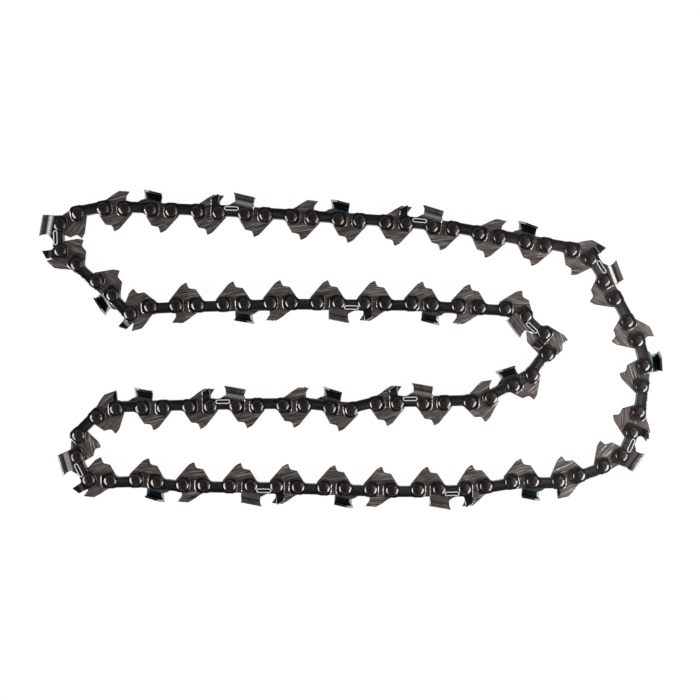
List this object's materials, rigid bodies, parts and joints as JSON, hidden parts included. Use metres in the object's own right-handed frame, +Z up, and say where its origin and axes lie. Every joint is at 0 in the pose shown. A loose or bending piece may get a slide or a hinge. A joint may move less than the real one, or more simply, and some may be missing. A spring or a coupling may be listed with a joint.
{
  "type": "chainsaw chain",
  "caption": "Closed saw chain lying on its side in a folded loop: hooked drive links between riveted tie straps and alternating left and right cutters, all turning at their rivets.",
  "frame": {"origin": "bottom centre of the box of the loop as it lies", "axes": "+X along the longer side of the loop, +Y across it, +Z up along the rivets"},
  "size_m": [0.2466, 0.1272, 0.0066],
  "materials": {
    "tie_strap_steel": "blued",
    "cutter_steel": "blued with ground teeth"
  },
  "bodies": {
    "strap_unit_01": {"strap_unit_01": "tie_strap_steel"},
    "right_cutter_unit_02": {"right_cutter_unit_02": "cutter_steel"},
    "strap_unit_03": {"strap_unit_03": "tie_strap_steel"},
    "left_cutter_unit_04": {"left_cutter_unit_04": "cutter_steel"},
    "strap_unit_05": {"strap_unit_05": "tie_strap_steel"},
    "right_cutter_unit_06": {"right_cutter_unit_06": "cutter_steel"},
    "strap_unit_07": {"strap_unit_07": "tie_strap_steel"},
    "left_cutter_unit_08": {"left_cutter_unit_08": "cutter_steel"},
    "strap_unit_09": {"strap_unit_09": "tie_strap_steel"},
    "right_cutter_unit_10": {"right_cutter_unit_10": "cutter_steel"},
    "strap_unit_11": {"strap_unit_11": "tie_strap_steel"},
    "left_cutter_unit_12": {"left_cutter_unit_12": "cutter_steel"},
    "strap_unit_13": {"strap_unit_13": "tie_strap_steel"},
    "right_cutter_unit_14": {"right_cutter_unit_14": "cutter_steel"},
    "strap_unit_15": {"strap_unit_15": "tie_strap_steel"},
    "left_cutter_unit_16": {"left_cutter_unit_16": "cutter_steel"},
    "strap_unit_17": {"strap_unit_17": "tie_strap_steel"},
    "right_cutter_unit_18": {"right_cutter_unit_18": "cutter_steel"},
    "strap_unit_19": {"strap_unit_19": "tie_strap_steel"},
    "left_cutter_unit_20": {"left_cutter_unit_20": "cutter_steel"},
    "strap_unit_21": {"strap_unit_21": "tie_strap_steel"},
    "right_cutter_unit_22": {"right_cutter_unit_22": "cutter_steel"},
    "strap_unit_23": {"strap_unit_23": "tie_strap_steel"},
    "left_cutter_unit_24": {"left_cutter_unit_24": "cutter_steel"},
    "strap_unit_25": {"strap_unit_25": "tie_strap_steel"},
    "right_cutter_unit_26": {"right_cutter_unit_26": "cutter_steel"},
    "strap_unit_27": {"strap_unit_27": "tie_strap_steel"},
    "left_cutter_unit_28": {"left_cutter_unit_28": "cutter_steel"},
    "strap_unit_29": {"strap_unit_29": "tie_strap_steel"},
    "right_cutter_unit_30": {"right_cutter_unit_30": "cutter_steel"},
    "strap_unit_31": {"strap_unit_31": "tie_strap_steel"},
    "left_cutter_unit_32": {"left_cutter_unit_32": "cutter_steel"},
    "strap_unit_33": {"strap_unit_33": "tie_strap_steel"},
    "right_cutter_unit_34": {"right_cutter_unit_34": "cutter_steel"},
    "strap_unit_35": {"strap_unit_35": "tie_strap_steel"},
    "left_cutter_unit_36": {"left_cutter_unit_36": "cutter_steel"},
    "strap_unit_37": {"strap_unit_37": "tie_strap_steel"},
    "right_cutter_unit_38": {"right_cutter_unit_38": "cutter_steel"},
    "strap_unit_39": {"strap_unit_39": "tie_strap_steel"},
    "left_cutter_unit_40": {"left_cutter_unit_40": "cutter_steel"},
    "strap_unit_41": {"strap_unit_41": "tie_strap_steel"},
    "right_cutter_unit_42": {"right_cutter_unit_42": "cutter_steel"},
    "strap_unit_43": {"strap_unit_43": "tie_strap_steel"},
    "left_cutter_unit_44": {"left_cutter_unit_44": "cutter_steel"},
    "strap_unit_45": {"strap_unit_45": "tie_strap_steel"},
    "right_cutter_unit_46": {"right_cutter_unit_46": "cutter_steel"},
    "strap_unit_47": {"strap_unit_47": "tie_strap_steel"},
    "left_cutter_unit_48": {"left_cutter_unit_48": "cutter_steel"},
    "strap_unit_49": {"strap_unit_49": "tie_strap_steel"},
    "right_cutter_unit_50": {"right_cutter_unit_50": "cutter_steel"},
    "strap_unit_51": {"strap_unit_51": "tie_strap_steel"}
  },
  "joints": [
    {"name": "pivot_02", "type": "hinge", "parent": "strap_unit_01", "child": "right_cutter_unit_02", "pos_m": [-0.07928, 0.01685, 0.0033], "axis": [0, 0, 1], "range_deg": [-91.1, 38.9]},
    {"name": "pivot_03", "type": "hinge", "parent": "right_cutter_unit_02", "child": "strap_unit_03", "pos_m": [-0.09427, 0.02145, 0.0033], "axis": [0, 0, 1], "range_deg": [-81, 26]},
    {"name": "pivot_04", "type": "hinge", "parent": "strap_unit_03", "child": "left_cutter_unit_04", "pos_m": [-0.10835, 0.0336, 0.0033], "axis": [0, 0, 1], "range_deg": [-75.9, 54.1]},
    {"name": "pivot_05", "type": "hinge", "parent": "left_cutter_unit_04", "child": "strap_unit_05", "pos_m": [-0.11512, 0.04913, 0.0033], "axis": [0, 0, 1], "range_deg": [-16.5, 90.5]},
    {"name": "pivot_06", "type": "hinge", "parent": "strap_unit_05", "child": "right_cutter_unit_06", "pos_m": [-0.09805, 0.05565, 0.0033], "axis": [0, 0, 1], "range_deg": [-63.8, 66.2]},
    {"name": "pivot_07", "type": "hinge", "parent": "right_cutter_unit_06", "child": "strap_unit_07", "pos_m": [-0.07946, 0.05519, 0.0033], "axis": [0, 0, 1], "range_deg": [-75, 32]},
    {"name": "pivot_08", "type": "hinge", "parent": "strap_unit_07", "child": "left_cutter_unit_08", "pos_m": [-0.06087, 0.05441, 0.0033], "axis": [0, 0, 1], "range_deg": [-75, 55]},
    {"name": "pivot_09", "type": "hinge", "parent": "left_cutter_unit_08", "child": "strap_unit_09", "pos_m": [-0.04229, 0.05362, 0.0033], "axis": [0, 0, 1], "range_deg": [-73.9, 33.1]},
    {"name": "pivot_10", "type": "hinge", "parent": "strap_unit_09", "child": "right_cutter_unit_10", "pos_m": [-0.02373, 0.05246, 0.0033], "axis": [0, 0, 1], "range_deg": [-75, 55]},
    {"name": "pivot_11", "type": "hinge", "parent": "right_cutter_unit_10", "child": "strap_unit_11", "pos_m": [-0.00516, 0.0513, 0.0033], "axis": [0, 0, 1], "range_deg": [-75, 32]},
    {"name": "pivot_12", "type": "hinge", "parent": "strap_unit_11", "child": "left_cutter_unit_12", "pos_m": [0.0134, 0.05014, 0.0033], "axis": [0, 0, 1], "range_deg": [-74.9, 55.1]},
    {"name": "pivot_13", "type": "hinge", "parent": "left_cutter_unit_12", "child": "strap_unit_13", "pos_m": [0.03192, 0.04851, 0.0033], "axis": [0, 0, 1], "range_deg": [-74.9, 32.1]},
    {"name": "pivot_14", "type": "hinge", "parent": "strap_unit_13", "child": "right_cutter_unit_14", "pos_m": [0.05032, 0.0458, 0.0033], "axis": [0, 0, 1], "range_deg": [-75, 55]},
    {"name": "pivot_15", "type": "hinge", "parent": "right_cutter_unit_14", "child": "strap_unit_15", "pos_m": [0.06863, 0.04254, 0.0033], "axis": [0, 0, 1], "range_deg": [-75.6, 31.4]},
    {"name": "pivot_16", "type": "hinge", "parent": "strap_unit_15", "child": "left_cutter_unit_16", "pos_m": [0.08695, 0.03934, 0.0033], "axis": [0, 0, 1], "range_deg": [-61.1, 68.9]},
    {"name": "pivot_17", "type": "hinge", "parent": "left_cutter_unit_16", "child": "strap_unit_17", "pos_m": [0.09999, 0.02726, 0.0033], "axis": [0, 0, 1], "range_deg": [-74.6, 32.4]},
    {"name": "pivot_18", "type": "hinge", "parent": "strap_unit_17", "child": "right_cutter_unit_18", "pos_m": [0.10922, 0.01112, 0.0033], "axis": [0, 0, 1], "range_deg": [-73.6, 56.4]},
    {"name": "pivot_19", "type": "hinge", "parent": "right_cutter_unit_18", "child": "strap_unit_19", "pos_m": [0.11577, -0.00618, 0.0033], "axis": [0, 0, 1], "range_deg": [-53.6, 53.4]},
    {"name": "pivot_20", "type": "hinge", "parent": "strap_unit_19", "child": "left_cutter_unit_20", "pos_m": [0.11365, -0.02466, 0.0033], "axis": [0, 0, 1], "range_deg": [-63.9, 66.1]},
    {"name": "pivot_21", "type": "hinge", "parent": "left_cutter_unit_20", "child": "strap_unit_21", "pos_m": [0.10693, -0.04198, 0.0033], "axis": [0, 0, 1], "range_deg": [-38.3, 68.7]},
    {"name": "pivot_22", "type": "hinge", "parent": "strap_unit_21", "child": "right_cutter_unit_22", "pos_m": [0.09009, -0.04975, 0.0033], "axis": [0, 0, 1], "range_deg": [-70.6, 59.4]},
    {"name": "pivot_23", "type": "hinge", "parent": "right_cutter_unit_22", "child": "strap_unit_23", "pos_m": [0.07184, -0.05218, 0.0033], "axis": [0, 0, 1], "range_deg": [-76.5, 30.5]},
    {"name": "pivot_24", "type": "hinge", "parent": "strap_unit_23", "child": "left_cutter_unit_24", "pos_m": [0.05338, -0.05406, 0.0033], "axis": [0, 0, 1], "range_deg": [-73.3, 56.7]},
    {"name": "pivot_25", "type": "hinge", "parent": "left_cutter_unit_24", "child": "strap_unit_25", "pos_m": [0.03486, -0.05539, 0.0033], "axis": [0, 0, 1], "range_deg": [-75, 32]},
    {"name": "pivot_26", "type": "hinge", "parent": "strap_unit_25", "child": "right_cutter_unit_26", "pos_m": [0.01626, -0.05563, 0.0033], "axis": [0, 0, 1], "range_deg": [-72.6, 57.4]},
    {"name": "pivot_27", "type": "hinge", "parent": "right_cutter_unit_26", "child": "strap_unit_27", "pos_m": [-0.00233, -0.05502, 0.0033], "axis": [0, 0, 1], "range_deg": [-75, 32]},
    {"name": "pivot_28", "type": "hinge", "parent": "strap_unit_27", "child": "left_cutter_unit_28", "pos_m": [-0.02092, -0.05442, 0.0033], "axis": [0, 0, 1], "range_deg": [-75.2, 54.8]},
    {"name": "pivot_29", "type": "hinge", "parent": "left_cutter_unit_28", "child": "strap_unit_29", "pos_m": [-0.03951, -0.05403, 0.0033], "axis": [0, 0, 1], "range_deg": [-75, 32]},
    {"name": "pivot_30", "type": "hinge", "parent": "strap_unit_29", "child": "right_cutter_unit_30", "pos_m": [-0.05811, -0.05378, 0.0033], "axis": [0, 0, 1], "range_deg": [-74.4, 55.6]},
    {"name": "pivot_31", "type": "hinge", "parent": "right_cutter_unit_30", "child": "strap_unit_31", "pos_m": [-0.07665, -0.0525, 0.0033], "axis": [0, 0, 1], "range_deg": [-75.8, 31.2]},
    {"name": "pivot_32", "type": "hinge", "parent": "strap_unit_31", "child": "left_cutter_unit_32", "pos_m": [-0.09521, -0.05196, 0.0033], "axis": [0, 0, 1], "range_deg": [-70.3, 59.7]},
    {"name": "pivot_33", "type": "hinge", "parent": "left_cutter_unit_32", "child": "strap_unit_33", "pos_m": [-0.10834, -0.04254, 0.0033], "axis": [0, 0, 1], "range_deg": [-44, 63]},
    {"name": "pivot_34", "type": "hinge", "parent": "strap_unit_33", "child": "right_cutter_unit_34", "pos_m": [-0.10074, -0.02683, 0.0033], "axis": [0, 0, 1], "range_deg": [-51.9, 78.1]},
    {"name": "pivot_35", "type": "hinge", "parent": "right_cutter_unit_34", "child": "strap_unit_35", "pos_m": [-0.0828, -0.0233, 0.0033], "axis": [0, 0, 1], "range_deg": [-75, 32]},
    {"name": "pivot_36", "type": "hinge", "parent": "strap_unit_35", "child": "left_cutter_unit_36", "pos_m": [-0.0642, -0.0228, 0.0033], "axis": [0, 0, 1], "range_deg": [-75, 55]},
    {"name": "pivot_37", "type": "hinge", "parent": "left_cutter_unit_36", "child": "strap_unit_37", "pos_m": [-0.04561, -0.02244, 0.0033], "axis": [0, 0, 1], "range_deg": [-75, 32]},
    {"name": "pivot_38", "type": "hinge", "parent": "strap_unit_37", "child": "right_cutter_unit_38", "pos_m": [-0.02701, -0.02219, 0.0033], "axis": [0, 0, 1], "range_deg": [-74.5, 55.5]},
    {"name": "pivot_39", "type": "hinge", "parent": "right_cutter_unit_38", "child": "strap_unit_39", "pos_m": [-0.00847, -0.02323, 0.0033], "axis": [0, 0, 1], "range_deg": [-76.4, 30.6]},
    {"name": "pivot_40", "type": "hinge", "parent": "strap_unit_39", "child": "left_cutter_unit_40", "pos_m": [0.00982, -0.02157, 0.0033], "axis": [0, 0, 1], "range_deg": [-62.1, 67.9]},
    {"name": "pivot_41", "type": "hinge", "parent": "left_cutter_unit_40", "child": "strap_unit_41", "pos_m": [0.02842, -0.02132, 0.0033], "axis": [0, 0, 1], "range_deg": [-75, 32]},
    {"name": "pivot_42", "type": "hinge", "parent": "strap_unit_41", "child": "right_cutter_unit_42", "pos_m": [0.04701, -0.02093, 0.0033], "axis": [0, 0, 1], "range_deg": [-85.1, 44.9]},
    {"name": "pivot_43", "type": "hinge", "parent": "right_cutter_unit_42", "child": "strap_unit_43", "pos_m": [0.06421, -0.01437, 0.0033], "axis": [0, 0, 1], "range_deg": [-76.4, 30.6]},
    {"name": "loop_fold", "type": "hinge", "parent": "strap_unit_43", "child": "left_cutter_unit_44", "pos_m": [0.07762, -0.00204, 0.0033], "axis": [0, 0, 1], "range_deg": [-3.65, 1.34]},
    {"name": "pivot_45", "type": "hinge", "parent": "left_cutter_unit_44", "child": "strap_unit_45", "pos_m": [0.06898, 0.01328, 0.0033], "axis": [0, 0, 1], "range_deg": [-99.2, 7.8]},
    {"name": "pivot_46", "type": "hinge", "parent": "strap_unit_45", "child": "right_cutter_unit_46", "pos_m": [0.05085, 0.0166, 0.0033], "axis": [0, 0, 1], "range_deg": [-75, 55]},
    {"name": "pivot_47", "type": "hinge", "parent": "right_cutter_unit_46", "child": "strap_unit_47", "pos_m": [0.03228, 0.01761, 0.0033], "axis": [0, 0, 1], "range_deg": [-75.2, 31.8]},
    {"name": "pivot_48", "type": "hinge", "parent": "strap_unit_47", "child": "left_cutter_unit_48", "pos_m": [0.01369, 0.01815, 0.0033], "axis": [0, 0, 1], "range_deg": [-75, 55]},
    {"name": "pivot_49", "type": "hinge", "parent": "left_cutter_unit_48", "child": "strap_unit_49", "pos_m": [-0.00491, 0.01835, 0.0033], "axis": [0, 0, 1], "range_deg": [-75, 32]},
    {"name": "pivot_50", "type": "hinge", "parent": "strap_unit_49", "child": "right_cutter_unit_50", "pos_m": [-0.02351, 0.01853, 0.0033], "axis": [0, 0, 1], "range_deg": [-77, 53]},
    {"name": "pivot_51", "type": "hinge", "parent": "right_cutter_unit_50", "child": "strap_unit_51", "pos_m": [-0.0421, 0.01803, 0.0033], "axis": [0, 0, 1], "range_deg": [-75, 32]}
  ],
  "couplings": [
    {"joint": "pivot_02", "follows": "loop_fold", "ratio": -0.3515},
    {"joint": "pivot_03", "follows": "loop_fold", "ratio": -0.37938},
    {"joint": "pivot_04", "follows": "loop_fold", "ratio": -1.354},
    {"joint": "pivot_05", "follows": "loop_fold", "ratio": -1.1098},
    {"joint": "pivot_06", "follows": "loop_fold", "ratio": -0.63697},
    {"joint": "pivot_07", "follows": "loop_fold", "ratio": -0.40052},
    {"joint": "pivot_08", "follows": "loop_fold", "ratio": 0.6482},
    {"joint": "pivot_09", "follows": "loop_fold", "ratio": 1.1327},
    {"joint": "pivot_10", "follows": "loop_fold", "ratio": 1.0644},
    {"joint": "pivot_11", "follows": "loop_fold", "ratio": 0.48753},
    {"joint": "pivot_12", "follows": "loop_fold", "ratio": 0.39811},
    {"joint": "pivot_13", "follows": "loop_fold", "ratio": 0.39072},
    {"joint": "pivot_14", "follows": "loop_fold", "ratio": -0.44927},
    {"joint": "pivot_15", "follows": "loop_fold", "ratio": -0.42619},
    {"joint": "pivot_16", "follows": "loop_fold", "ratio": -0.68857},
    {"joint": "pivot_17", "follows": "loop_fold", "ratio": -0.99923},
    {"joint": "pivot_18", "follows": "loop_fold", "ratio": -1.2681},
    {"joint": "pivot_19", "follows": "loop_fold", "ratio": -0.81607},
    {"joint": "pivot_20", "follows": "loop_fold", "ratio": -0.53027},
    {"joint": "pivot_21", "follows": "loop_fold", "ratio": -0.5011},
    {"joint": "pivot_22", "follows": "loop_fold", "ratio": -0.40554},
    {"joint": "pivot_23", "follows": "loop_fold", "ratio": -0.40202},
    {"joint": "pivot_24", "follows": "loop_fold", "ratio": -0.39685},
    {"joint": "pivot_25", "follows": "loop_fold", "ratio": -0.391},
    {"joint": "pivot_26", "follows": "loop_fold", "ratio": -0.38718},
    {"joint": "pivot_27", "follows": "loop_fold", "ratio": 0.68204},
    {"joint": "pivot_28", "follows": "loop_fold", "ratio": 0.76951},
    {"joint": "pivot_29", "follows": "loop_fold", "ratio": 0.83312},
    {"joint": "pivot_30", "follows": "loop_fold", "ratio": 0.70828},
    {"joint": "pivot_31", "follows": "loop_fold", "ratio": 0.40412},
    {"joint": "pivot_32", "follows": "loop_fold", "ratio": -0.40509},
    {"joint": "pivot_33", "follows": "loop_fold", "ratio": -0.6745},
    {"joint": "pivot_34", "follows": "loop_fold", "ratio": -0.53471},
    {"joint": "pivot_35", "follows": "loop_fold", "ratio": -0.45864},
    {"joint": "pivot_36", "follows": "loop_fold", "ratio": -0.4142},
    {"joint": "pivot_37", "follows": "loop_fold", "ratio": -0.47091},
    {"joint": "pivot_38", "follows": "loop_fold", "ratio": -0.41668},
    {"joint": "pivot_39", "follows": "loop_fold", "ratio": 0.64782},
    {"joint": "pivot_40", "follows": "loop_fold", "ratio": 0.4055},
    {"joint": "pivot_41", "follows": "loop_fold", "ratio": 0.44887},
    {"joint": "pivot_42", "follows": "loop_fold", "ratio": 0.67999},
    {"joint": "pivot_43", "follows": "loop_fold", "ratio": 0.98037},
    {"joint": "pivot_45", "follows": "loop_fold", "ratio": 0.5327},
    {"joint": "pivot_46", "follows": "loop_fold", "ratio": 0.40106},
    {"joint": "pivot_47", "follows": "loop_fold", "ratio": 0.39556},
    {"joint": "pivot_48", "follows": "loop_fold", "ratio": 0.39232},
    {"joint": "pivot_49", "follows": "loop_fold", "ratio": 0.39211},
    {"joint": "pivot_50", "follows": "loop_fold", "ratio": 0.39504},
    {"joint": "pivot_51", "follows": "loop_fold", "ratio": 0.40211}
  ]
}
